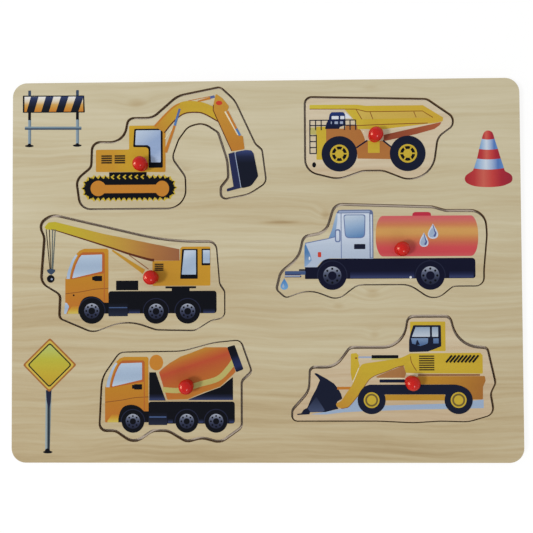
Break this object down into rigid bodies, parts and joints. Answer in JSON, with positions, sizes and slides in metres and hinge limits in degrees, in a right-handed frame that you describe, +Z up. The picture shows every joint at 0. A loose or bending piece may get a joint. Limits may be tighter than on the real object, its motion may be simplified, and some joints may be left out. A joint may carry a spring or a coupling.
{
  "type": "peg puzzle",
  "caption": "Flat wooden board with recesses cut to the outlines of construction vehicles, each filled by a loose wooden piece that a child lifts out by its ball-headed peg.",
  "frame": {"origin": "middle of the board's underside, on the surface that the puzzle lies on", "axes": "+X along the board, to the right as the pictures are seen, +Y across it, to the top of the pictures, +Z up, the way the pieces lift out"},
  "size_m": [0.3, 0.225, 0.0175],
  "materials": {
    "frame_wood": "satin",
    "backing_wood": "satin",
    "piece_wood": "satin",
    "peg_plastic": "gloss",
    "print_ink": "satin"
  },
  "bodies": {
    "board": {"backing_board": "backing_wood", "frame_board": "frame_wood"},
    "excavator": {"excavator_piece": "piece_wood", "excavator_peg": "peg_plastic"},
    "dump_truck": {"dump_truck_piece": "piece_wood", "dump_truck_peg": "peg_plastic"},
    "crane_truck": {"crane_truck_piece": "piece_wood", "crane_truck_peg": "peg_plastic"},
    "water_tanker": {"water_tanker_piece": "piece_wood", "water_tanker_peg": "peg_plastic"},
    "mixer_truck": {"mixer_truck_piece": "piece_wood", "mixer_truck_peg": "peg_plastic"},
    "wheel_loader": {"wheel_loader_piece": "piece_wood", "wheel_loader_peg": "peg_plastic"}
  },
  "joints": [
    {"name": "excavator_lift", "type": "slide", "parent": "board", "child": "excavator", "axis": [0, 0, 1], "range_m": [0, 0.03]},
    {"name": "dump_truck_lift", "type": "slide", "parent": "board", "child": "dump_truck", "axis": [0, 0, 1], "range_m": [0, 0.03]},
    {"name": "crane_truck_lift", "type": "slide", "parent": "board", "child": "crane_truck", "axis": [0, 0, 1], "range_m": [0, 0.03]},
    {"name": "water_tanker_lift", "type": "slide", "parent": "board", "child": "water_tanker", "axis": [0, 0, 1], "range_m": [0, 0.03]},
    {"name": "mixer_truck_lift", "type": "slide", "parent": "board", "child": "mixer_truck", "axis": [0, 0, 1], "range_m": [0, 0.03]},
    {"name": "wheel_loader_lift", "type": "slide", "parent": "board", "child": "wheel_loader", "axis": [0, 0, 1], "range_m": [0, 0.03]}
  ]
}
